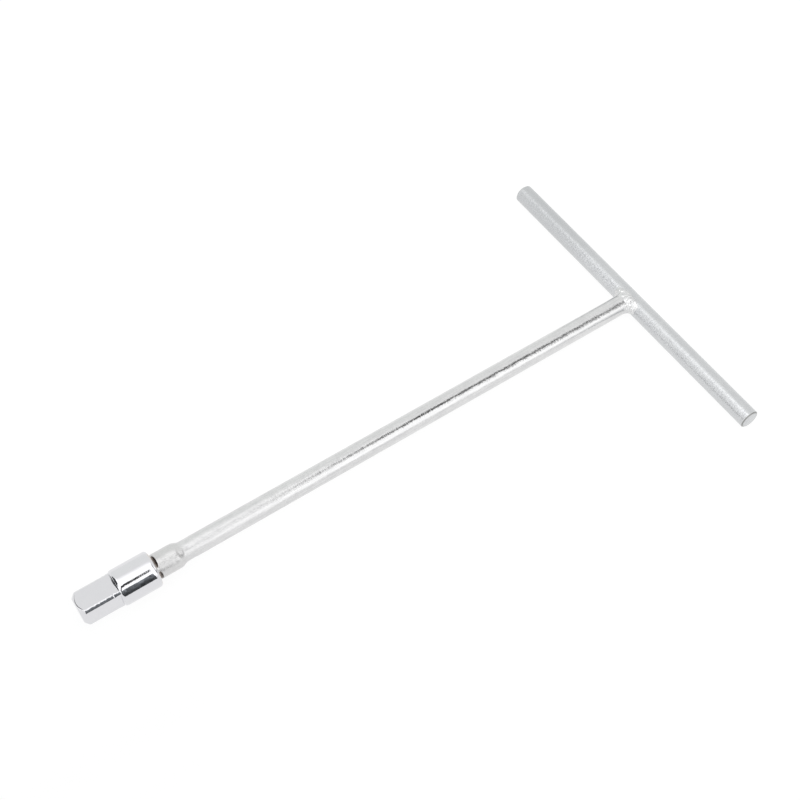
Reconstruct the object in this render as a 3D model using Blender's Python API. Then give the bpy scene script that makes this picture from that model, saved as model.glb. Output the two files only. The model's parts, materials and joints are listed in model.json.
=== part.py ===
"""T-handle driver: a long rod with a welded cross bar, and a chrome 1/2 in male square on its end.

The tool is laid out flat first. The shaft runs along X from the cross bar at the layout's origin to the
drive tip at -X, the cross bar runs along Y, and the flats of both squares face Y and Z. The layout is then
pitched by less than a degree, so that the tool lies on its bar and on the rear edge of its head, and moved
so that the origin is the middle of its footprint, on the floor. Units are metres.
"""

import math

import bmesh
import bpy
from mathutils import Vector

MM = 0.001
GAP = 0.3 * MM

# Cross bar and shaft, both cut from the same round bar.
ROD_R = 5.0 * MM
BAR_LENGTH = 180.0 * MM
BAR_CHAMFER = 0.65 * MM

# Stations along the shaft, measured from the axis of the cross bar.
TAPER_START = 258.9 * MM
TAPER_END = 262.5 * MM
TANG_SHOULDER = 272.0 * MM
HEAD_REAR = 273.3 * MM
TANG_END = 287.8 * MM
SQUARE_START = 292.5 * MM
TIP = 311.3 * MM

# Upset end of the shaft: a collar, then a 3/8 in square tang whose corners keep the collar's radius.
COLLAR_R = 6.1 * MM
TANG_HALF = 4.75 * MM
TANG_CHAMFER = 1.0 * MM

# Chrome head: a round body pressed on the tang, and the 1/2 in square with turned corners.
HEAD_R = 8.88 * MM
HEAD_REAR_ROUND = 1.5 * MM
HEAD_FRONT_ROUND = 1.75 * MM
SQUARE_HALF = 6.35 * MM
CORNER_R = 8.25 * MM
TIP_CHAMFER = 2.4 * MM
BORE_HALF = TANG_HALF + GAP
BORE_END = TANG_END + 1.0 * MM
MOUTH_R = 6.8 * MM
MOUTH_DEPTH = 1.2 * MM

# Detent: a ball held in a drilled pocket by its staked lip, on the square's +Y flat.
BALL_R = 2.5 * MM
BALL_PROUD = 1.0 * MM
BALL_FROM_TIP = 8.0 * MM
POCKET_R = 2.6 * MM
POCKET_FLOOR_Y = -3.5 * MM
LIP_R = 2.28 * MM
LIP_DEPTH = 0.4 * MM
SPRING_WIRE_R = 0.3 * MM
SPRING_R = 1.85 * MM
SPRING_TURNS = 5

# Weld bead around the butt joint: its leg along the shaft and its throat over the rods, by side.
WELD_LEG_NEAR = 3.6 * MM
WELD_LEG_FAR = 1.3 * MM
WELD_LEG_TOP = 2.4 * MM
WELD_RISE_NEAR = 3.4 * MM
WELD_RISE_FAR = 1.2 * MM
WELD_RISE_TOP = 1.0 * MM
WELD_END_X = 0.6 * MM

ROUND_SIDES = 64
SMALL_SIDES = 32
ROUND_STEPS = 6
CUTTER_MARGIN = 5.0 * MM
SMOOTH_ANGLE = math.radians(35.0)


def clear_scene():
    for old in list(bpy.data.objects):
        bpy.data.objects.remove(old, do_unlink=True)


def material(name, colour, roughness):
    mat = bpy.data.materials.new(name)
    mat.use_nodes = True
    shader = mat.node_tree.nodes["Principled BSDF"]
    shader.inputs["Base Color"].default_value = (*colour, 1.0)
    shader.inputs["Roughness"].default_value = roughness
    shader.inputs["Metallic"].default_value = 1.0
    return mat


def round_ring(along, radius, axis="X", sides=ROUND_SIDES):
    """Points of a circle around the X or Y axis, at a place along that axis."""
    ring = []
    for i in range(sides):
        angle = 2.0 * math.pi * i / sides
        across, up = radius * math.cos(angle), radius * math.sin(angle)
        ring.append(Vector((along, across, up)) if axis == "X" else Vector((across, along, up)))
    return ring


def square_ring(along, half):
    return [Vector((along, y * half, z * half)) for y, z in ((1, 1), (-1, 1), (-1, -1), (1, -1))]


def loft(name, rings, closed=False):
    """A closed skin over rings of equal count: capped at both ends, or joined end to start."""
    mesh_builder = bmesh.new()
    loops = [[mesh_builder.verts.new(point) for point in ring] for ring in rings]
    pairs = list(zip(loops, loops[1:]))
    if closed:
        pairs.append((loops[-1], loops[0]))
    else:
        mesh_builder.faces.new(loops[0])
        mesh_builder.faces.new(loops[-1])
    for first, second in pairs:
        for i in range(len(first)):
            j = (i + 1) % len(first)
            mesh_builder.faces.new((first[i], first[j], second[j], second[i]))
    bmesh.ops.recalc_face_normals(mesh_builder, faces=mesh_builder.faces)
    return new_object(name, mesh_builder)


def new_object(name, mesh_builder):
    mesh = bpy.data.meshes.new(name)
    mesh_builder.to_mesh(mesh)
    mesh_builder.free()
    obj = bpy.data.objects.new(name, mesh)
    bpy.context.collection.objects.link(obj)
    return obj


def lathe(name, profile, axis="X", sides=ROUND_SIDES):
    """A turned solid from (place along the axis, radius) pairs."""
    return loft(name, [round_ring(along, radius, axis, sides) for along, radius in profile])


def finish_piece(obj, mat, parent):
    obj.data.materials.append(mat)
    obj.data.shade_smooth()
    obj.data.set_sharp_from_angle(angle=SMOOTH_ANGLE)
    obj.parent = parent
    return obj


def cut(obj, cutter, parent):
    """Subtract a cutter, which stays in the file as a wire guide."""
    cutter.parent = parent
    cutter.hide_render = True
    cutter.display_type = "WIRE"
    modifier = obj.modifiers.new(cutter.name, "BOOLEAN")
    modifier.operation = "DIFFERENCE"
    modifier.object = cutter


def square_waste(name, start, end, half):
    """What a mill takes off round stock to leave a square: a block with a square hole through it."""
    outer = HEAD_R + CUTTER_MARGIN
    rings = [
        square_ring(-start, outer),
        square_ring(-end, outer),
        square_ring(-end, half),
        square_ring(-start, half),
    ]
    return loft(name, rings, closed=True)


def quarter_round(centre, centre_r, radius, from_angle, to_angle):
    """Profile points on an arc: the angle is measured from the +X side of the arc's centre."""
    points = []
    for i in range(ROUND_STEPS + 1):
        angle = from_angle + (to_angle - from_angle) * i / ROUND_STEPS
        points.append((centre + radius * math.cos(angle), centre_r + radius * math.sin(angle)))
    return points


def rest_pitch():
    """Pitch at which the bar and the rounded rear edge of the head both touch the floor."""
    along = HEAD_REAR + HEAD_REAR_ROUND
    below = HEAD_R - HEAD_REAR_ROUND
    return math.atan2(below, along) - math.asin((ROD_R - HEAD_REAR_ROUND) / math.hypot(along, below))


def make_layout():
    """The empty that carries the flat layout: pitched, and centred over the origin."""
    pitch = rest_pitch()
    tip_face_r = CORNER_R - TIP_CHAMFER
    reach = TIP * math.cos(pitch) + tip_face_r * math.sin(pitch)
    layout = bpy.data.objects.new("layout", None)
    bpy.context.collection.objects.link(layout)
    layout.location = (0.5 * (reach - ROD_R), 0.0, ROD_R)
    layout.rotation_euler = (0.0, pitch, 0.0)
    return layout


def make_cross_bar(mat, layout):
    end = 0.5 * BAR_LENGTH
    shoulder = end - BAR_CHAMFER
    tip_r = ROD_R - BAR_CHAMFER
    profile = [(-end, tip_r), (-shoulder, ROD_R), (shoulder, ROD_R), (end, tip_r)]
    return finish_piece(lathe("cross_bar", profile, axis="Y"), mat, layout)


def taper_profile():
    """The forged swelling from the rod to the collar, an S-shaped run of points."""
    points = []
    for i in range(ROUND_STEPS + 1):
        step = i / ROUND_STEPS
        blend = 0.5 - 0.5 * math.cos(math.pi * step)
        place = TAPER_START + (TAPER_END - TAPER_START) * step
        points.append((-place, ROD_R + (COLLAR_R - ROD_R) * blend))
    return points


def make_shaft(mat, layout):
    profile = [(0.0, ROD_R)] + taper_profile()
    profile.append((-(TANG_END - TANG_CHAMFER), COLLAR_R))
    profile.append((-TANG_END, COLLAR_R - TANG_CHAMFER))
    shaft = lathe("shaft", profile)
    saddle = [(-2.0 * CUTTER_MARGIN, ROD_R + GAP), (2.0 * CUTTER_MARGIN, ROD_R + GAP)]
    cut(shaft, lathe("shaft_saddle_cut", saddle, axis="Y"), layout)
    cut(shaft, square_waste("tang_cut", TANG_SHOULDER, TANG_END + CUTTER_MARGIN, TANG_HALF), layout)
    return finish_piece(shaft, mat, layout)


def weld_size(angle, near, far, top):
    """A weld size around the shaft: far at +Y, top at +Z, near at -Y, and nothing at the underside."""
    side = math.cos(angle)
    up = math.sin(angle)
    sides = (far if side > 0.0 else near) * abs(side) ** 3
    return sides + top * up * up if up > 0.0 else sides


def weld_ring(step):
    """One section of the bead's blank: step 0 is the toe on the shaft, 1 the fillet's root, 2 its end."""
    ring = []
    for i in range(ROUND_SIDES):
        angle = 2.0 * math.pi * i / ROUND_SIDES
        leg = weld_size(angle, WELD_LEG_NEAR, WELD_LEG_FAR, WELD_LEG_TOP)
        rise = weld_size(angle, WELD_RISE_NEAR, WELD_RISE_FAR, WELD_RISE_TOP)
        if step <= 1.0:
            place = -(ROD_R + leg * (1.0 - step))
            radius = ROD_R + rise * (1.0 - math.sqrt(1.0 - step * step))
        else:
            place = -ROD_R + (ROD_R - WELD_END_X) * (step - 1.0)
            radius = ROD_R + rise * math.cos(0.5 * math.pi * (step - 1.0))
        ring.append(Vector((place, radius * math.cos(angle), radius * math.sin(angle))))
    return ring


def make_weld_bead(mat, layout):
    steps = [2.0 * i / (2 * ROUND_STEPS) for i in range(2 * ROUND_STEPS + 1)]
    bead = loft("weld_bead", [weld_ring(step) for step in steps])
    clear_r = ROD_R + GAP
    reach = 4.0 * CUTTER_MARGIN
    cut(bead, lathe("weld_bar_cut", [(-reach, clear_r), (reach, clear_r)], axis="Y"), layout)
    cut(bead, lathe("weld_shaft_cut", [(-reach, clear_r), (CUTTER_MARGIN, clear_r)]), layout)
    return finish_piece(bead, mat, layout)


def make_drive_head(mat, layout):
    quarter = 0.5 * math.pi
    rear = quarter_round(-(HEAD_REAR + HEAD_REAR_ROUND), HEAD_R - HEAD_REAR_ROUND, HEAD_REAR_ROUND, 0.0, quarter)
    front_centre_r = HEAD_R - HEAD_FRONT_ROUND
    land = math.pi - math.asin((CORNER_R - front_centre_r) / HEAD_FRONT_ROUND)
    front = quarter_round(-(SQUARE_START - HEAD_FRONT_ROUND), front_centre_r, HEAD_FRONT_ROUND, quarter, land)
    profile = rear + front
    profile.append((-(TIP - TIP_CHAMFER), CORNER_R))
    profile.append((-TIP, CORNER_R - TIP_CHAMFER))
    head = lathe("drive_head", profile)
    cut(head, square_waste("drive_square_cut", SQUARE_START, TIP + CUTTER_MARGIN, SQUARE_HALF), layout)
    bore = [square_ring(-(HEAD_REAR - CUTTER_MARGIN), BORE_HALF), square_ring(-BORE_END, BORE_HALF)]
    cut(head, loft("bore_cut", bore), layout)
    slope = (MOUTH_R - BORE_HALF) / MOUTH_DEPTH
    mouth = [
        (-(HEAD_REAR - MOUTH_DEPTH), MOUTH_R + slope * MOUTH_DEPTH),
        (-(HEAD_REAR + MOUTH_DEPTH), BORE_HALF),
    ]
    cut(head, lathe("bore_mouth_cut", mouth), layout)
    pocket = [
        (POCKET_FLOOR_Y, POCKET_R),
        (SQUARE_HALF - LIP_DEPTH, POCKET_R),
        (SQUARE_HALF - LIP_DEPTH, LIP_R),
        (SQUARE_HALF + CUTTER_MARGIN, LIP_R),
    ]
    pocket_cut = lathe("ball_pocket_cut", pocket, axis="Y", sides=SMALL_SIDES)
    pocket_cut.location.x = -(TIP - BALL_FROM_TIP)
    cut(head, pocket_cut, layout)
    return finish_piece(head, mat, layout)


def make_detent_ball(mat, layout):
    mesh_builder = bmesh.new()
    bmesh.ops.create_uvsphere(mesh_builder, u_segments=SMALL_SIDES, v_segments=SMALL_SIDES // 2, radius=BALL_R)
    ball = new_object("detent_ball", mesh_builder)
    ball.location = (-(TIP - BALL_FROM_TIP), SQUARE_HALF + BALL_PROUD - BALL_R, 0.0)
    return finish_piece(ball, mat, layout)


def make_detent_spring(mat, layout):
    """A helix of round wire between the pocket's floor and the underside of the ball."""
    ball_y = SQUARE_HALF + BALL_PROUD - BALL_R
    start = POCKET_FLOOR_Y + GAP + SPRING_WIRE_R
    end = ball_y - math.sqrt((BALL_R + GAP + SPRING_WIRE_R) ** 2 - SPRING_R ** 2)
    count = SPRING_TURNS * SMALL_SIDES // 2 + 1
    curve = bpy.data.curves.new("detent_spring", "CURVE")
    curve.dimensions = "3D"
    curve.bevel_depth = SPRING_WIRE_R
    curve.bevel_resolution = 2
    curve.use_fill_caps = True
    spline = curve.splines.new("POLY")
    spline.points.add(count - 1)
    for i, point in enumerate(spline.points):
        step = i / (count - 1)
        angle = 2.0 * math.pi * SPRING_TURNS * step
        point.co = (
            SPRING_R * math.cos(angle),
            start + (end - start) * step,
            SPRING_R * math.sin(angle),
            1.0,
        )
    curve.materials.append(mat)
    spring = bpy.data.objects.new("detent_spring", curve)
    bpy.context.collection.objects.link(spring)
    spring.location.x = -(TIP - BALL_FROM_TIP)
    spring.parent = layout
    return spring


def main():
    clear_scene()
    zinc = material("zinc_plate", (0.62, 0.63, 0.66), 0.38)
    weld = material("weld_metal", (0.66, 0.67, 0.67), 0.45)
    chrome = material("chrome_plate", (0.78, 0.79, 0.81), 0.07)
    steel = material("bright_steel", (0.60, 0.60, 0.61), 0.2)
    layout = make_layout()
    make_cross_bar(zinc, layout)
    make_shaft(zinc, layout)
    make_weld_bead(weld, layout)
    make_drive_head(chrome, layout)
    make_detent_ball(steel, layout)
    make_detent_spring(steel, layout)


main()
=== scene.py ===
"""Looks of the T-handle driver: zinc-plated rod and cross bar, rough weld, polished chrome square head."""
import json
import math

import bmesh
import bpy
import numpy as np
from mathutils import Matrix, Vector, noise


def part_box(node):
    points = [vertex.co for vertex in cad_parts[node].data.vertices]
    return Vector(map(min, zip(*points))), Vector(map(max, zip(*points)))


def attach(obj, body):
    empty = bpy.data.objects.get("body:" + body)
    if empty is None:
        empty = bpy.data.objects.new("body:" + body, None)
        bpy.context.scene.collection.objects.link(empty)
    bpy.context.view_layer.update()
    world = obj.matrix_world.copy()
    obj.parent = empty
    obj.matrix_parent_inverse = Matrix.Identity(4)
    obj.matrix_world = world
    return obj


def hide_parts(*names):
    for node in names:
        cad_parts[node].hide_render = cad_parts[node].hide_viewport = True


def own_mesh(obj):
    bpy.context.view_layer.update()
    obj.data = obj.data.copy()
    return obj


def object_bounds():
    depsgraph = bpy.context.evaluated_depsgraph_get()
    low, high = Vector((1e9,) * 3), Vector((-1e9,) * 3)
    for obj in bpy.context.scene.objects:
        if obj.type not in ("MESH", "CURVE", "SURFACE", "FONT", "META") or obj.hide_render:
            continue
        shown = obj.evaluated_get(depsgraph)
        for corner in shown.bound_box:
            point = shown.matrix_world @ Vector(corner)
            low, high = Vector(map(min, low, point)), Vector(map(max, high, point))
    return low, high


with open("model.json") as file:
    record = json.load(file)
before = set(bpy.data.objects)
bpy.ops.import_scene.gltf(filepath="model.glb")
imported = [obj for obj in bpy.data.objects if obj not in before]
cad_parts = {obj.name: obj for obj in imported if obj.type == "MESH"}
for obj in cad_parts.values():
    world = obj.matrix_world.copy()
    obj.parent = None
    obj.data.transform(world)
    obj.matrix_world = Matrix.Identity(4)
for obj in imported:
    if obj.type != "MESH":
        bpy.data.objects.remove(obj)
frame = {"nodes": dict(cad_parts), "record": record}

MM = 0.001
CAD_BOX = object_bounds()
MOUNTS = {mount["name"]: mount for mount in frame["record"]["mounts"]}


# ---------------------------------------------------------------- the tool's own axes, from the frame

def layout_matrix():
    """Axes of the tool itself: X along the shaft from the tip to the bar, Y along the bar."""
    low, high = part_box("cross_bar")
    x_axis = -Vector(MOUNTS["drive_tip"]["axis"])
    z_axis = Vector(MOUNTS["drive_flat_top"]["axis"])
    y_axis = z_axis.cross(x_axis)
    rotation = Matrix((x_axis.normalized(), y_axis.normalized(), z_axis.normalized())).transposed()
    return Matrix.Translation((low + high) / 2) @ rotation.to_4x4()


LAYOUT = layout_matrix()
TO_LAYOUT = LAYOUT.inverted()
BAR_LOW, BAR_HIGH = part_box("cross_bar")
HEAD_LOW, HEAD_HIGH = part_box("drive_head")
ROD_R = (BAR_HIGH.z - BAR_LOW.z) / 2
BAR_HALF = (BAR_HIGH.y - BAR_LOW.y) / 2
SKIN_MARGIN = 0.002 * MM
HEAD_R = (HEAD_HIGH.y - HEAD_LOW.y) / 2 - SKIN_MARGIN
TIP = -(TO_LAYOUT @ Vector(MOUNTS["drive_tip"]["pos_m"])).x
SQUARE_HALF = (TO_LAYOUT @ Vector(MOUNTS["drive_flat_top"]["pos_m"])).z

# Stations along the shaft, from the bar's axis, and radii, as in the design.
TAPER_START = 258.9 * MM
TAPER_END = 262.5 * MM
TANG_SHOULDER = 272.0 * MM
HEAD_REAR = 273.3 * MM
TANG_END = 287.8 * MM
SQUARE_START = 292.5 * MM
COLLAR_R = 6.1 * MM
TANG_HALF = 4.75 * MM
CORNER_R = 8.25 * MM
WORN_CORNER_R = CORNER_R - 0.12 * MM
BAR_CHAMFER = 0.65 * MM
TIP_CHAMFER = 2.4 * MM
REAR_ROUND = 1.5 * MM
FRONT_ROUND = 1.75 * MM
FRONT_COVE = 1.2 * MM
BORE_HALF = TANG_HALF + 0.03 * MM
MOUTH_R = 6.8 * MM
MOUTH_FLARE = 1.4 * MM
MOUTH_DEPTH = 1.2 * MM

# The detent: a ball in a pocket on the square's +Y flat, with a spring under it.
BALL_R = 2.5 * MM
BALL_PROUD = 1.0 * MM
BALL_PLACE = -(TIP - 8.0 * MM)
POCKET_R = 2.6 * MM
POCKET_FLOOR_Y = -3.5 * MM
LIP_R = 2.28 * MM
LIP_DEPTH = 0.4 * MM
SPRING_WIRE_R = 0.3 * MM
SPRING_R = 1.85 * MM
SPRING_TURNS = 5
SPRING_GAP = 0.3 * MM

FULL_TURN = 2.0 * math.pi
QUARTER_TURN = 0.5 * math.pi


# ---------------------------------------------------------------- mesh helpers

def smooth_step(low, high, value):
    t = np.clip((np.asarray(value, float) - low) / (high - low), 0.0, 1.0)
    return t * t * (3.0 - 2.0 * t)


def smooth_min(a, b, width):
    """The smaller of two, rounded over where they are within that width of each other."""
    h = np.clip(1.0 - np.abs(a - b) / width, 0.0, 1.0)
    return np.minimum(a, b) - h * h * width / 4.0


def smooth_max(a, b, width):
    return -smooth_min(-a, -b, width)


def waves(seed, count, along, around, along_scale, around_scale):
    """A smooth random field over a rod, periodic around it, mostly between -1 and 1."""
    rng = np.random.default_rng(seed)
    total = np.zeros(np.broadcast(along, around).shape)
    for _ in range(count):
        rate = FULL_TURN / (along_scale * rng.uniform(0.6, 1.8))
        turns = rng.integers(0, around_scale + 1)
        phase = rng.uniform(0.0, FULL_TURN)
        total += np.sin(along * rate + around * turns + phase)
    return total / math.sqrt(count)


def spaced(*stops):
    """Places along an axis: stops are numbers with a step after each but the last."""
    places = [stops[0]]
    for start, step, end in zip(stops[0::2], stops[1::2], stops[2::2]):
        count = max(1, round(abs(end - start) / step))
        places += list(np.linspace(start, end, count + 1)[1:])
    return np.array(places)


def circle(sides):
    """Angles of the points around a ring, as one row."""
    return np.linspace(0.0, FULL_TURN, sides, endpoint=False)[None, :]


def skin_faces(rings, sides, wrap=False):
    """Quads of a skin over that many rings of that many points."""
    first = np.arange(sides)
    second = np.roll(first, -1)
    last = rings if wrap else rings - 1
    faces = []
    for ring in range(last):
        a = ring * sides
        b = (ring + 1) % rings * sides
        faces.append(np.stack([a + first, a + second, b + second, b + first], axis=1))
    return np.concatenate(faces).tolist()


def new_object(name, skin):
    """A smooth-shaded object from points in the tool's axes and faces; its mesh is in the frame's axes."""
    points, faces = skin
    mesh = bpy.data.meshes.new(name)
    mesh.from_pydata([LAYOUT @ Vector(point) for point in points], [], faces)
    builder = bmesh.new()
    builder.from_mesh(mesh)
    bmesh.ops.recalc_face_normals(builder, faces=builder.faces)
    builder.to_mesh(mesh)
    builder.free()
    mesh.shade_smooth()
    made = bpy.data.objects.new(name, mesh)
    bpy.context.scene.collection.objects.link(made)
    return made


def cut_away(piece, cutter):
    """Takes the cutter's solid out of the piece's mesh, and removes the cutter."""
    modifier = piece.modifiers.new("cut", "BOOLEAN")
    modifier.operation = "DIFFERENCE"
    modifier.solver = "EXACT"
    modifier.object = cutter
    ready = piece.evaluated_get(bpy.context.evaluated_depsgraph_get())
    result = bpy.data.meshes.new_from_object(ready)
    piece.modifiers.clear()
    piece.data = result
    bpy.data.objects.remove(cutter)


def make_piece(name, skin, body, node):
    """A piece that moves with that body and stands for that CAD node."""
    piece = new_object(name, skin)
    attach(piece, body)
    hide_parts(node)
    return piece


def tube_skin(grid):
    """A closed skin over a grid of rings (ring, side, xyz), with a fan at each end."""
    rings, sides = grid.shape[:2]
    points = grid.reshape(-1, 3).tolist()
    faces = skin_faces(rings, sides)
    for ring in (0, rings - 1):
        centre = len(points)
        points.append(grid[ring].mean(axis=0).tolist())
        start = ring * sides
        faces += [[start + i, start + (i + 1) % sides, centre] for i in range(sides)]
    return points, faces


def around_x(along, radius, angle):
    return np.stack([along + 0.0 * angle, radius * np.cos(angle), radius * np.sin(angle)], axis=-1)


def around_y(along, radius, angle):
    return np.stack([radius * np.cos(angle), along + 0.0 * angle, radius * np.sin(angle)], axis=-1)


def bezier(start, control, end, t):
    return (1 - t) ** 2 * start + 2 * t * (1 - t) * control + t ** 2 * end


def rounded_profile(corners, fillets, steps):
    """A polyline of (place, radius) with its inner corners rounded off, each by about the given radius."""
    path = [np.array(corners[0])]
    for before, corner, after, fillet in zip(corners, corners[1:], corners[2:], fillets):
        before, corner, after = np.array(before), np.array(corner), np.array(after)
        to_before = (before - corner) / np.linalg.norm(before - corner)
        to_after = (after - corner) / np.linalg.norm(after - corner)
        half = 0.5 * math.acos(np.clip(to_before @ to_after, -1.0, 1.0))
        run = fillet / math.tan(half)
        for i in range(steps + 1):
            path.append(bezier(corner + to_before * run, corner, corner + to_after * run, i / steps))
    path.append(np.array(corners[-1]))
    return np.array(path)


def refine(profile, longest):
    """The same polyline with no step longer than that."""
    out = [profile[0]]
    for a, b in zip(profile, profile[1:]):
        count = max(1, math.ceil(np.linalg.norm(b - a) / longest))
        out += [a + (b - a) * (i + 1) / count for i in range(count)]
    return np.array(out)


# ---------------------------------------------------------------- the pieces

BAR_SIDES = 96
SHAFT_SIDES = 192
HEAD_SIDES = 480
BEAD_SIDES = 240
POCKET_SIDES = 64
WIRE_SIDES = 20
SPRING_STEPS = 40
CENTRE_R = 0.4 * MM


def make_cross_bar():
    edge = ROD_R - BAR_CHAMFER
    dome = 0.12 * MM
    corners = [
        (-BAR_HALF, CENTRE_R),
        (-BAR_HALF + dome, edge),
        (-BAR_HALF + BAR_CHAMFER, ROD_R),
        (BAR_HALF - BAR_CHAMFER, ROD_R),
        (BAR_HALF - dome, edge),
        (BAR_HALF, CENTRE_R),
    ]
    profile = refine(rounded_profile(corners, [0.15 * MM] * 4, steps=6), longest=0.6 * MM)
    along, radius = profile[:, :1], profile[:, 1:]
    angle = circle(BAR_SIDES)
    dents = 0.012 * MM * np.minimum(waves(3, 10, along, angle, 14 * MM, 3) - 1.6, 0.0)
    radius = radius + dents * smooth_step(0.0, ROD_R, radius)
    return make_piece("bar_skin", tube_skin(around_y(along, radius, angle)), "wrench", "cross_bar")


def shaft_radius(along):
    """Turned radius of the shaft at a distance from the bar's axis: a rod, a slight neck, then the collar."""
    swell = smooth_step(TAPER_START, TAPER_END, along)
    neck = 0.10 * MM * np.exp(-(((along - TAPER_START + 3 * MM) / (2.5 * MM)) ** 2))
    return ROD_R + (COLLAR_R - ROD_R) * swell - neck


def flat_limit(angle, half):
    """Radius of a square's flats at an angle around it."""
    return half / np.maximum(np.abs(np.cos(angle)), np.abs(np.sin(angle)))


def shaft_stations():
    """Places of the shaft's rings, closer where its shape changes."""
    rod = (3.0 * MM, 0.8 * MM, TAPER_START - 4 * MM)
    collar = (0.25 * MM, TANG_SHOULDER - 1 * MM)
    run_out = (0.1 * MM, HEAD_REAR + 1 * MM)
    tang = (0.8 * MM, TANG_END - 1 * MM, 0.25 * MM, TANG_END)
    return spaced(*rod, *collar, *run_out, *tang)[:, None]


def tang_half(place):
    """Half width of the tang's flats, which run out in an arc through the collar's end."""
    depth = np.clip((TANG_SHOULDER + 0.9 * MM - place) / (1.3 * MM), 0.0, 1.0)
    rise = COLLAR_R + 0.6 * MM - TANG_HALF
    return TANG_HALF + rise * (1.0 - np.sqrt(1.0 - depth ** 2))


def make_shaft():
    place = shaft_stations()
    angle = circle(SHAFT_SIDES)
    turned = shaft_radius(place) - smooth_step(TANG_END - MM, TANG_END, place) * MM
    forged = smooth_step(TAPER_START - 6 * MM, TAPER_END, place)
    uneven = 0.012 * MM * waves(5, 24, place, angle, 9 * MM, 9)
    uneven = uneven + forged * 0.014 * MM * waves(6, 14, place, angle, 4 * MM, 5)
    skin = turned + uneven - 0.02 * MM
    radius = smooth_min(skin, flat_limit(angle, tang_half(place)), 0.15 * MM)
    piece = make_piece("shaft_skin", tube_skin(around_x(-place, radius, angle)), "wrench", "shaft")
    # dark brown where the flats cut into the turned surface, and on the two end caps: partly a stain, partly
    # painted shade where the collar meets the head
    stain_and_shade_share = smooth_step(0.15 * MM, 0.6 * MM, turned - radius)
    stain_and_shade = piece.data.attributes.new("stain_and_shade", "FLOAT", "POINT")
    stain_and_shade.data.foreach_set("value", np.append(stain_and_shade_share.ravel(), [1.0, 1.0]).astype(np.float32))
    return piece


NOSE_LEAD = 1.0 * MM
SHOULDER_BLEND = 0.2 * MM
EDGE_BLEND = 0.16 * MM


def nose_profile():
    """The turned tip: a 45 degree chamfer rounded into the corners and into a slightly domed face."""
    start = TIP - TIP_CHAMFER
    corners = [
        (start - NOSE_LEAD, WORN_CORNER_R),
        (start + 0.12 * MM, WORN_CORNER_R),
        (TIP - 0.12 * MM, CORNER_R - TIP_CHAMFER),
        (TIP, CENTRE_R),
    ]
    return refine(rounded_profile(corners, [1.2 * MM, 1.6 * MM], steps=8), longest=0.18 * MM)[1:]


def bore_rings(angle):
    """The square bore behind, from its floor to a mouth that opens into a round."""
    bore = flat_limit(angle, BORE_HALF)
    rings = [(place, bore) for place in spaced(TANG_END + MM, 2 * MM, HEAD_REAR + MOUTH_DEPTH)]
    for left in (0.8, 0.6, 0.4, 0.2):
        cone = MOUTH_R - MOUTH_FLARE * left
        rings.append((HEAD_REAR + MOUTH_DEPTH * left, smooth_max(bore, cone, 0.1 * MM)))
    rings.append((HEAD_REAR, np.full_like(bore, MOUTH_R)))
    return rings


def body_rings(angle):
    """The round body, with a rounded edge at its rear face."""
    rings = []
    for turn in np.linspace(0.0, QUARTER_TURN, 14):
        edge = HEAD_R - REAR_ROUND * (1 - math.sin(turn))
        rings.append((HEAD_REAR + REAR_ROUND * (1 - math.cos(turn)), np.full_like(angle, edge)))
    for place in spaced(HEAD_REAR + REAR_ROUND, 1.6 * MM, SQUARE_START - FRONT_ROUND)[1:]:
        rings.append((place, np.full_like(angle, HEAD_R)))
    return rings


def shoulder_rings(square):
    """The rounded front edge of the body, then a cove down to the flats."""
    land = smooth_min(square, CORNER_R, 0.12 * MM)
    rings = []
    for turn in np.linspace(0.0, QUARTER_TURN, 16)[1:-1]:
        edge = HEAD_R - FRONT_ROUND * (1 - math.cos(turn))
        place = SQUARE_START - FRONT_ROUND * (1 - math.sin(turn))
        rings.append((place, smooth_max(land, edge, SHOULDER_BLEND)))
    for turn in np.linspace(0.0, QUARTER_TURN, 12)[1:]:
        cove = HEAD_R - FRONT_ROUND - FRONT_COVE * math.sin(turn)
        place = SQUARE_START + FRONT_COVE * (1 - math.cos(turn))
        rings.append((place, smooth_max(land, cove, SHOULDER_BLEND)))
    return rings


def square_rings(angle, square):
    """The square with its worn, uneven corners, then the turned chamfer at the tip."""
    rings = []
    for place in spaced(SQUARE_START + FRONT_COVE, 0.25 * MM, TIP - TIP_CHAMFER - NOSE_LEAD)[1:]:
        worn = 0.045 * MM * waves(21, 12, np.array([[place]]), angle, 1.6 * MM, 9)
        rings.append((place, smooth_min(square, WORN_CORNER_R + worn, EDGE_BLEND)))
    for place, nose in nose_profile():
        rings.append((place, smooth_min(square, nose, EDGE_BLEND)))
    return rings


def pocket_skin():
    """The drilled pocket of the detent ball, narrower at its staked lip."""
    profile = np.array([
        (POCKET_FLOOR_Y, POCKET_R),
        (SQUARE_HALF - LIP_DEPTH, POCKET_R),
        (SQUARE_HALF - LIP_DEPTH, LIP_R),
        (SQUARE_HALF + MM, LIP_R),
    ])
    grid = around_y(profile[:, :1], profile[:, 1:], circle(POCKET_SIDES))
    grid[..., 0] += BALL_PLACE
    return tube_skin(grid)


def make_drive_head():
    angle = circle(HEAD_SIDES)
    square = flat_limit(angle, SQUARE_HALF)
    rings = bore_rings(angle) + body_rings(angle) + shoulder_rings(square) + square_rings(angle, square)
    grid = np.stack([around_x(-place, radius, angle)[0] for place, radius in rings])
    head = new_object("head_skin", tube_skin(grid))
    cut_away(head, new_object("ball_pocket", pocket_skin()))
    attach(head, "wrench")
    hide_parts("drive_head")
    return head


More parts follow.
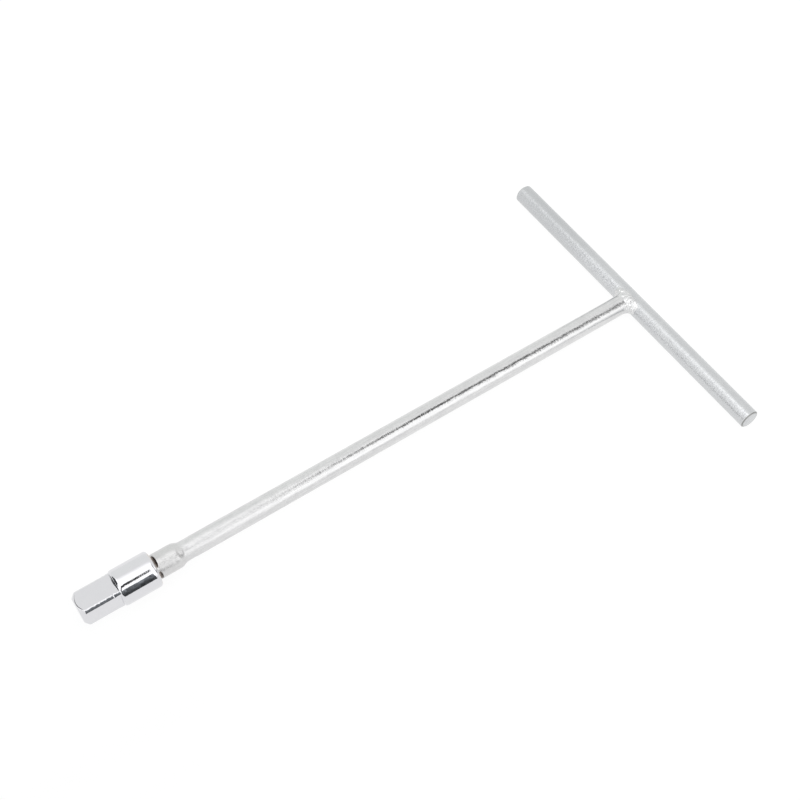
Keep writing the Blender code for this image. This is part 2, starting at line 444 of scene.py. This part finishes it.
def make_spring():
    """A helix of round wire from the pocket's floor to the ball."""
    ball_y = SQUARE_HALF + BALL_PROUD - BALL_R
    low = POCKET_FLOOR_Y + SPRING_GAP + SPRING_WIRE_R
    high = ball_y - math.sqrt((BALL_R + SPRING_GAP + SPRING_WIRE_R) ** 2 - SPRING_R ** 2)
    turn = np.linspace(0.0, FULL_TURN * SPRING_TURNS, SPRING_TURNS * SPRING_STEPS + 1)[:, None]
    height = low + (high - low) * turn / turn[-1]
    around = circle(WIRE_SIDES)
    radius = SPRING_R + SPRING_WIRE_R * np.cos(around)
    grid = np.stack([
        BALL_PLACE + radius * np.cos(turn),
        height + SPRING_WIRE_R * np.sin(around),
        radius * np.sin(turn),
    ], axis=-1)
    piece = make_piece("spring_skin", tube_skin(grid), "wrench", "detent_spring")
    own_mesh(piece)
    return piece


# The bead every 30 degrees around the shaft from +Y: where its toe lies on the shaft (x, mm), where its toe
# lies on the bar (y, mm, and degrees round the bar from its side that faces the shaft), and its swell (mm).
BEAD_TABLE = (
    (-6.2, 6.3, 0.0, 0.4),
    (-6.0, 7.6, 38.0, 0.9),
    (-5.9, 7.0, 68.0, 1.3),
    (-5.7, 1.0, 86.0, 1.6),
    (-6.0, -5.5, 80.0, 2.1),
    (-7.2, -8.8, 62.0, 1.6),
    (-8.8, -9.0, 6.0, 0.5),
    (-7.0, -6.6, -36.0, 0.3),
    (-4.2, -3.4, -64.0, 0.1),
    (-1.6, 0.0, -88.0, 0.0),
    (-3.6, 3.2, -62.0, 0.1),
    (-5.4, 5.2, -30.0, 0.2),
)

# Size (waves per metre) and height (mm) of the bead's lumps, from coarse to fine.
BEAD_LUMPS = ((420.0, 0.34), (1000.0, 0.22), (2100.0, 0.13))
BEAD_STEPS = 36


def bead_row(angle):
    """The bead's numbers between the rows of its table."""
    place = (angle / FULL_TURN * len(BEAD_TABLE)) % len(BEAD_TABLE)
    first = int(place)
    share = place - first
    share = share * share * (3.0 - 2.0 * share)
    before = np.array(BEAD_TABLE[first])
    return before + share * (np.array(BEAD_TABLE[(first + 1) % len(BEAD_TABLE)]) - before)


def bead_lump(point, t, up):
    """Height of the lumps at a point of the bead; they fade at its toes and toward the underside."""
    lump = sum(noise.noise(point * size) * height for size, height in BEAD_LUMPS)
    top_share = max(0.0, min(1.0, 1.0 + up))
    return lump * math.sin(math.pi * t) ** 0.6 * top_share * MM


def bead_section(angle):
    """The bead's outline at an angle around the shaft: over it to the bar, then back inside."""
    toe_x, toe_y, toe_angle, swell = bead_row(angle)
    side, up = math.cos(angle), math.sin(angle)
    seed_point = Vector((side, up, 0.3))
    toe_x += 0.7 * noise.noise(seed_point * 2.3)
    toe_y += 0.7 * noise.noise(seed_point * 2.9 + Vector((7.0, 0.0, 0.0)))
    climb = math.asin(up)
    out_shaft = Vector((0.0, side, up))
    out_bar = Vector((-math.cos(climb), 0.0, math.sin(climb)))
    corner = Vector((-ROD_R * abs(side), ROD_R * side, ROD_R * up))
    out = (out_shaft + out_bar).normalized()
    toe_r = ROD_R - 0.05 * MM
    toe_shaft = Vector((toe_x * MM, toe_r * side, toe_r * up))
    turn = math.radians(toe_angle)
    toe_bar = Vector((-toe_r * math.cos(turn), toe_y * MM, toe_r * math.sin(turn)))
    control = corner + out * (swell * MM)
    line = []
    for i in range(BEAD_STEPS + 1):
        t = i / BEAD_STEPS
        point = bezier(toe_shaft, control, toe_bar, t)
        line.append(point + out * bead_lump(point, t, up))
    inner = corner - out * 0.9 * MM
    return line + [bezier(toe_bar, inner, toe_shaft, t) for t in (0.25, 0.5, 0.75)]


def make_weld_bead():
    rings = [bead_section(FULL_TURN * i / BEAD_SIDES) for i in range(BEAD_SIDES)]
    ground = -ROD_R
    points = [(p.x, p.y, max(p.z, ground)) for ring in rings for p in ring]
    faces = skin_faces(len(rings), len(rings[0]), wrap=True)
    return make_piece("bead_skin", (points, faces), "wrench", "weld_bead")


# ---------------------------------------------------------------- materials

class Graph:
    """Builds a node tree by formulas: every method takes sockets or numbers and returns a socket."""

    def __init__(self, tree):
        self.tree = tree

    def node(self, kind, **settings):
        made = self.tree.nodes.new(kind)
        for key, value in settings.items():
            setattr(made, key, value)
        return made

    def feed(self, socket, value):
        if isinstance(value, bpy.types.NodeSocket):
            self.tree.links.new(value, socket)
        else:
            socket.default_value = value

    def coordinates(self, kind):
        return self.node("ShaderNodeTexCoord").outputs[kind]

    def axes(self, vector):
        """The x, y and z of a vector."""
        made = self.node("ShaderNodeSeparateXYZ")
        self.feed(made.inputs[0], vector)
        return made.outputs

    def math(self, operation, *values):
        made = self.node("ShaderNodeMath", operation=operation)
        for socket, value in zip(made.inputs, values):
            self.feed(socket, value)
        return made.outputs[0]

    def times(self, *values):
        result = values[0]
        for value in values[1:]:
            result = self.math("MULTIPLY", result, value)
        return result

    def plus(self, *values):
        result = values[0]
        for value in values[1:]:
            result = self.math("ADD", result, value)
        return result

    def ramp(self, value, low, high, to_low=0.0, to_high=1.0, smooth=True):
        made = self.node("ShaderNodeMapRange", interpolation_type="SMOOTHSTEP" if smooth else "LINEAR")
        for socket, number in zip(made.inputs, (value, low, high, to_low, to_high)):
            self.feed(socket, number)
        return made.outputs[0]

    def window(self, value, low, high, soft):
        """1 between low and high, 0 outside, with soft edges."""
        rise = self.ramp(value, low - soft, low + soft)
        fall = self.ramp(value, high - soft, high + soft, 1.0, 0.0)
        return self.times(rise, fall)

    def mix(self, share, a, b):
        made = self.node("ShaderNodeMix", data_type="RGBA")
        self.feed(made.inputs["Factor"], share)
        self.feed(made.inputs[6], a)
        self.feed(made.inputs[7], b)
        return made.outputs[2]

    def scaled(self, vector, scale):
        made = self.node("ShaderNodeMapping")
        self.feed(made.inputs["Vector"], vector)
        made.inputs["Scale"].default_value = scale
        return made.outputs[0]

    def noise(self, vector, scale, detail=3.0, roughness=0.5):
        made = self.node("ShaderNodeTexNoise")
        self.feed(made.inputs["Vector"], vector)
        made.inputs["Scale"].default_value = scale
        made.inputs["Detail"].default_value = detail
        made.inputs["Roughness"].default_value = roughness
        return made.outputs["Fac"]

    def bump(self, height, distance, strength=1.0, normal=None):
        made = self.node("ShaderNodeBump")
        made.inputs["Distance"].default_value = distance
        self.feed(made.inputs["Strength"], strength)
        self.feed(made.inputs["Height"], height)
        if normal is not None:
            self.feed(made.inputs["Normal"], normal)
        return made.outputs[0]


def new_material(name):
    mat = bpy.data.materials.new(name)
    mat.use_nodes = True
    shader = mat.node_tree.nodes["Principled BSDF"]
    shader.inputs["Metallic"].default_value = 1.0
    return mat, shader, Graph(mat.node_tree)


def colour(red, green, blue):
    return (red, green, blue, 1.0)


WHITE = colour(1.0, 1.0, 1.0)
# pit colours: a painted glint on the pits' rims and painted shade in their floors
PIT_RIM_PAINTED_GLINT = colour(0.77, 0.78, 0.805)
PIT_FLOOR_PAINTED_SHADE = colour(0.40, 0.40, 0.43)
# painted shade toward the bar's far end
BAR_FAR_END_PAINTED_SHADE = colour(0.52, 0.53, 0.54)
COLLAR_GREY = colour(0.585, 0.58, 0.575)
# a painted dark reflection on the bar's end chamfers
CHAMFER_PAINTED_DARK_REFLECTION = colour(0.22, 0.22, 0.21)
# dark brown at the flats' run-out beside the head: partly a stain, partly painted shade
STAIN_AND_PAINTED_SHADE_BROWN = colour(0.17, 0.13, 0.10)


def pitted_band(g, x, cloud):
    """1 on the band of the bar that faces the shaft, in clouds."""
    off_axis = g.plus(x, -(BAR_LOW.x + BAR_HIGH.x) / 2)
    top_edge = g.ramp(off_axis, -0.9 * MM, -2.4 * MM)
    low_edge = g.ramp(off_axis, -5.2 * MM, -3.9 * MM, 0.25, 1.0)
    return g.times(top_edge, low_edge, g.ramp(cloud, 0.34, 0.58, 0.25, 1.0))


def zinc_material(name, grain_way, chatter_way, clear, dull, rough, handle_rough, relief, pit_share=0.0):
    """Bright zinc over drawn bar: cloudy tint, drawing lines along it, chatter across it, fine speckle.

    The bar is pitted on its side toward the shaft, with painted glints on the pits' rims and painted shade in
    them, painted shade toward its far end and a painted dark reflection on its end chamfers; the shaft has a
    duller collar and a dark brown where its flats run out, partly a stain and partly painted shade.
    """
    mat, shader, g = new_material(name)
    place = g.coordinates("Object")
    x, y, _ = g.axes(place)
    cloud = g.noise(g.scaled(place, grain_way), 70.0, 3.0, 0.55)
    patch = g.noise(place, 230.0, 4.0, 0.6)
    grain = g.noise(place, 1100.0, 3.0, 0.65)
    lines = g.noise(g.scaled(place, grain_way), 1500.0, 2.0, 0.5)
    chatter = g.noise(g.scaled(place, chatter_way), 700.0, 3.0, 0.6)
    pits = g.noise(place, 1600.0, 2.0, 0.65)
    blotch = g.plus(g.times(cloud, 0.2), g.times(lines, 0.3), g.times(patch, 0.25), g.times(grain, 0.25))
    pitted = g.times(pitted_band(g, x, cloud), pit_share)
    chamfer = g.window(g.math("ABSOLUTE", y), BAR_HALF - 0.62 * MM, BAR_HALF - 0.14 * MM, 0.06 * MM)
    collar = g.ramp(x, -0.1035, -0.1085)
    stain_and_shade = g.node("ShaderNodeAttribute", attribute_name="stain_and_shade").outputs["Fac"]
    plating = g.mix(g.ramp(blotch, 0.4, 0.6), dull, clear)
    # painted glints on the pits' rims and painted shade in their floors, over the pitted band
    plating = g.mix(g.times(pitted, g.ramp(pits, 0.50, 0.60)), plating, PIT_RIM_PAINTED_GLINT)
    plating = g.mix(g.times(pitted, g.ramp(pits, 0.50, 0.40)), plating, PIT_FLOOR_PAINTED_SHADE)
    # painted shade: the bar darker toward its far (+Y) end
    plating = g.mix(g.ramp(y, 0.01, 0.06, 0.0, 0.65), plating, BAR_FAR_END_PAINTED_SHADE)
    plating = g.mix(g.times(collar, 0.4), plating, COLLAR_GREY)
    # painted dark reflection on the bar's end chamfers
    plating = g.mix(g.times(chamfer, 0.8), plating, CHAMFER_PAINTED_DARK_REFLECTION)
    # dark brown where the flats run out beside the head: partly a stain, partly painted shade
    g.feed(shader.inputs["Base Color"], g.mix(g.times(stain_and_shade, 0.75), plating, STAIN_AND_PAINTED_SHADE_BROWN))
    wear = g.ramp(g.plus(g.times(patch, 0.5), g.times(grain, 0.5)), 0.36, 0.64, -0.05, 0.05)
    along_rod = g.ramp(x, -0.10, 0.02, rough, handle_rough)
    scorched = g.ramp(x, 0.115, 0.15, 0.0, 0.06)
    g.feed(shader.inputs["Roughness"], g.plus(along_rod, wear, scorched, g.times(collar, -0.05)))
    normal = g.bump(lines, 0.02 * MM, 0.4)
    normal = g.bump(chatter, 0.05 * MM * relief, 1.0, normal)
    normal = g.bump(grain, 0.05 * MM * relief, 1.0, normal)
    normal = g.bump(pits, 0.16 * MM, pitted, normal)
    g.feed(shader.inputs["Normal"], normal)
    return mat


def chrome_material():
    """Polished chrome: nearly a mirror, with orange peel, wipe scratches and a brown stain at its mouth."""
    mat, shader, g = new_material("chrome_plate")
    place = g.coordinates("Object")
    haze = g.noise(place, 260.0, 3.0, 0.6)
    peel = g.noise(place, 700.0, 2.0, 0.5)
    scratch = g.noise(g.scaled(place, (0.15, 1.0, 1.0)), 2600.0, 2.0, 0.6)
    rear = g.ramp(g.axes(place)[0], HEAD_HIGH.x - 0.9 * MM, HEAD_HIGH.x - 0.1 * MM)
    mouth = g.times(rear, g.ramp(haze, 0.35, 0.6))
    plating = g.mix(haze, colour(0.70, 0.70, 0.725), colour(0.735, 0.735, 0.75))
    g.feed(shader.inputs["Base Color"], g.mix(g.times(mouth, 0.75), plating, colour(0.56, 0.43, 0.33)))
    g.feed(shader.inputs["Roughness"], g.ramp(haze, 0.3, 0.7, 0.03, 0.075))
    normal = g.bump(peel, 0.02 * MM, 0.6)
    normal = g.bump(scratch, 0.01 * MM, 0.6, normal)
    g.feed(shader.inputs["Normal"], normal)
    return mat


def steel_material():
    """Bright steel of the ball and the spring, with a fine grain."""
    mat, shader, g = new_material("bright_steel")
    grain = g.noise(g.coordinates("Object"), 1200.0, 3.0, 0.6)
    g.feed(shader.inputs["Base Color"], g.mix(grain, colour(0.55, 0.55, 0.56), colour(0.66, 0.66, 0.66)))
    g.feed(shader.inputs["Roughness"], g.ramp(grain, 0.3, 0.7, 0.12, 0.22))
    g.feed(shader.inputs["Normal"], g.bump(grain, 0.02 * MM, 0.2))
    return mat


def dress(piece, mat):
    piece.data.materials.clear()
    piece.data.materials.append(mat)


# ---------------------------------------------------------------- stage, light and camera

FLOOR_HALF = 6.0
DOME_RADIUS = 5.8


def glowing_material(name, base, glow):
    """A matt material without shine that gives off light."""
    mat = bpy.data.materials.new(name)
    mat.use_nodes = True
    shader = mat.node_tree.nodes["Principled BSDF"]
    shader.inputs["Base Color"].default_value = colour(base, base, base)
    shader.inputs["Specular IOR Level"].default_value = 0.0
    shader.inputs["Emission Color"].default_value = glow
    return mat, shader


def stage_object(name, mesh, mat):
    mesh.materials.append(mat)
    made = bpy.data.objects.new(name, mesh)
    bpy.context.scene.collection.objects.link(made)
    return made


def stage_mesh(name, operation, **settings):
    """A mesh made by one of bmesh's own shapes."""
    builder = bmesh.new()
    operation(builder, **settings)
    mesh = bpy.data.meshes.new(name)
    builder.to_mesh(mesh)
    builder.free()
    return mesh


def make_floor():
    mat, shader = glowing_material("floor_white", 0.10, WHITE)
    shader.inputs["Roughness"].default_value = 1.0
    shader.inputs["Emission Strength"].default_value = 0.92
    mesh = stage_mesh("floor", bmesh.ops.create_grid, x_segments=1, y_segments=1, size=FLOOR_HALF)
    floor = stage_object("floor", mesh, mat)
    floor.location.z = CAD_BOX[0].z - 0.1 * MM


def make_backdrop():
    """A white dome that only the camera sees, behind the floor's edge."""
    mat, shader = glowing_material("backdrop_white", 0.0, WHITE)
    shader.inputs["Emission Strength"].default_value = 1.0
    dome = stage_mesh("backdrop", bmesh.ops.create_uvsphere, u_segments=48, v_segments=24, radius=DOME_RADIUS)
    backdrop = stage_object("backdrop", dome, mat)
    backdrop.visible_diffuse = False
    backdrop.visible_glossy = False
    backdrop.visible_transmission = False
    backdrop.visible_shadow = False


# The studio by direction: along the shaft, far side and up are parts of a unit vector; tilt is the angle in
# degrees about the shaft's axis, 0 at the far side's horizon, 90 overhead and 180 at the near side's horizon.
ROOM_LIGHT = 0.98
BOX_LIGHT = 0.55
NEAR_HORIZON_LIGHT = -0.08
GAP_TILT = 97.5
GAP_DEPTH = 0.97


def studio_light(g, tilt, along, far, up):
    """A white room with brighter boxes overhead, in front and at the left."""
    shifted = g.plus(tilt, 3.6, g.times(g.math("MAXIMUM", along, -0.2), -45.0))
    above = g.ramp(shifted, 60.0, 90.0)
    overhead = g.times(above, g.ramp(along, -0.6, -0.15, 0.3, 1.0), g.ramp(along, -0.1, 0.05, 1.65, 1.0))
    front = g.ramp(tilt, 100.0, 125.0)
    box_end = g.times(g.ramp(tilt, 156.0, 181.0, 1.0, 0.0), g.ramp(along, 0.13, 0.35, 1.0, 0.86))
    main_box = g.times(g.math("MAXIMUM", overhead, front), box_end)
    left_box = g.times(g.ramp(along, -0.6, -0.8), g.ramp(far, 0.39, 0.31), g.window(up, 0.05, 0.42, 0.08))
    boxes = g.math("MAXIMUM", main_box, g.times(left_box, 0.85))
    near_horizon = g.window(tilt, 172.0, 181.0, 3.0)
    return g.plus(ROOM_LIGHT, g.times(boxes, BOX_LIGHT), g.times(near_horizon, NEAR_HORIZON_LIGHT))


def dark_gap(g, tilt, along):
    """1 in the dark gap between the boxes, 0 outside; it bends and widens along the shaft, with one break."""
    bend_tip = g.times(g.math("MAXIMUM", g.plus(0.08, g.times(along, -1.0)), 0.0), 27.0)
    bend_middle = g.ramp(along, 0.08, 0.33, 25.0, 0.0, smooth=False)
    bend_bar = g.times(g.math("MAXIMUM", g.plus(along, -0.34), 0.0), 130.0)
    centre = g.plus(GAP_TILT, bend_tip, bend_middle, bend_bar)
    off = g.math("ABSOLUTE", g.plus(tilt, g.times(centre, -1.0)))
    half = g.plus(g.ramp(along, 0.14, 0.30, 7.4, 14.0), g.ramp(along, 0.40, 0.46, 0.0, 5.5))
    edge = g.math("DIVIDE", off, half)
    here = g.math("MAXIMUM", g.ramp(along, 0.11, 0.135, 1.0, 0.0), g.ramp(along, 0.17, 0.30))
    gap = g.times(g.ramp(edge, 0.7, 1.1, 1.0, 0.0), g.ramp(along, -0.9, -0.7), here)
    return g.times(gap, g.ramp(along, 0.425, 0.46, 1.0, 0.82))


def make_world():
    """A white studio with one dark gap in its light, which is thin beside the head."""
    world = bpy.data.worlds.new("studio")
    world.use_nodes = True
    bpy.context.scene.world = world
    g = Graph(world.node_tree)
    background = world.node_tree.nodes["Background"]
    along, far, up = g.axes(g.coordinates("Generated"))
    tilt = g.times(g.math("ARCTAN2", up, far), 180.0 / math.pi)
    light = studio_light(g, tilt, along, far, up)
    open_share = g.plus(1.0, g.times(dark_gap(g, tilt, along), -GAP_DEPTH))
    g.feed(background.inputs["Strength"], g.times(light, open_share))
    tint = g.mix(g.ramp(far, 0.2, 0.9), WHITE, colour(0.985, 1.0, 0.99))
    g.feed(background.inputs["Color"], tint)


# Corners of two flags in millimetres: one in front of the head, one beyond its tip on the far side.
FLAG_FRONT = ((-250, -75, 7), (-112, -75, 7), (-112, -75, 67), (-250, -75, 67))
FLAG_TIP = ((-178, -4, 19), (-178, 50, 19), (-178, 50, 115), (-178, -4, 115))


def make_flag(name, corners, low_light, high_light):
    """A dark card beside the head that only the chrome sees, lighter toward its top."""
    mat, shader = glowing_material(name, 0.01, colour(0.88, 0.94, 1.0))
    g = Graph(mat.node_tree)
    height = g.axes(g.coordinates("Generated"))[2]
    folds = g.noise(g.scaled(g.coordinates("Object"), (1.0, 1.0, 0.06)), 700.0, 2.0, 0.6)
    glow = g.ramp(height, 0.2, 0.9, low_light, high_light)
    g.feed(shader.inputs["Emission Strength"], g.times(glow, g.ramp(folds, 0.38, 0.62, 0.55, 1.45)))
    mesh = bpy.data.meshes.new(name)
    mesh.from_pydata([Vector(corner) * MM for corner in corners], [], [(0, 1, 2, 3)])
    flag = stage_object(name, mesh, mat)
    flag.visible_camera = False
    flag.visible_shadow = False


def make_flags():
    make_flag("flag_front", FLAG_FRONT, 0.06, 0.24)
    make_flag("flag_tip", FLAG_TIP, 0.05, 0.09)


CAMERA_AZIMUTH = math.radians(-32.245)
CAMERA_ELEVATION = math.radians(55.347)
CAMERA_ROLL = math.radians(-2.107)
CAMERA_DISTANCE = 667.4 * MM
CAMERA_TARGET = Vector((22.34, 15.14, 5.0)) * MM
CAMERA_LENS = 61.842


def make_camera():
    back = Vector((
        math.sin(CAMERA_AZIMUTH) * math.cos(CAMERA_ELEVATION),
        -math.cos(CAMERA_AZIMUTH) * math.cos(CAMERA_ELEVATION),
        math.sin(CAMERA_ELEVATION),
    ))
    data = bpy.data.cameras.new("camera")
    data.sensor_width = 36.0
    data.lens = CAMERA_LENS
    camera = bpy.data.objects.new("camera", data)
    camera.location = CAMERA_TARGET + back * CAMERA_DISTANCE
    camera.rotation_mode = "QUATERNION"
    aim = (-back).to_track_quat("-Z", "Y")
    camera.rotation_quaternion = aim @ Matrix.Rotation(CAMERA_ROLL, 3, "Z").to_quaternion()
    bpy.context.scene.collection.objects.link(camera)
    bpy.context.scene.camera = camera


# ---------------------------------------------------------------- putting it together

make_camera()
make_floor()
make_backdrop()
make_world()
make_flags()
bpy.context.scene.view_settings.view_transform = "Standard"

bar_zinc = zinc_material(
    "zinc_bar", grain_way=(1.0, 0.06, 1.0), chatter_way=(0.2, 1.0, 0.2),
    clear=colour(0.635, 0.645, 0.65), dull=colour(0.59, 0.60, 0.61),
    rough=0.20, handle_rough=0.20, relief=1.8, pit_share=1.0,
)
shaft_zinc = zinc_material(
    "zinc_shaft", grain_way=(0.06, 1.0, 1.0), chatter_way=(1.0, 0.12, 0.12),
    clear=colour(0.735, 0.735, 0.735), dull=colour(0.635, 0.635, 0.64),
    rough=0.38, handle_rough=0.13, relief=1.2,
)
weld_zinc = zinc_material(
    "zinc_weld", grain_way=(1.0, 1.0, 1.0), chatter_way=(1.0, 1.0, 1.0),
    clear=colour(0.78, 0.78, 0.78), dull=colour(0.58, 0.585, 0.59),
    rough=0.13, handle_rough=0.13, relief=1.8,
)
chrome = chrome_material()
steel = steel_material()

dress(make_cross_bar(), bar_zinc)
dress(make_shaft(), shaft_zinc)
dress(make_weld_bead(), weld_zinc)
dress(make_drive_head(), chrome)
dress(make_spring(), steel)
dress(frame["nodes"]["detent_ball"], steel)
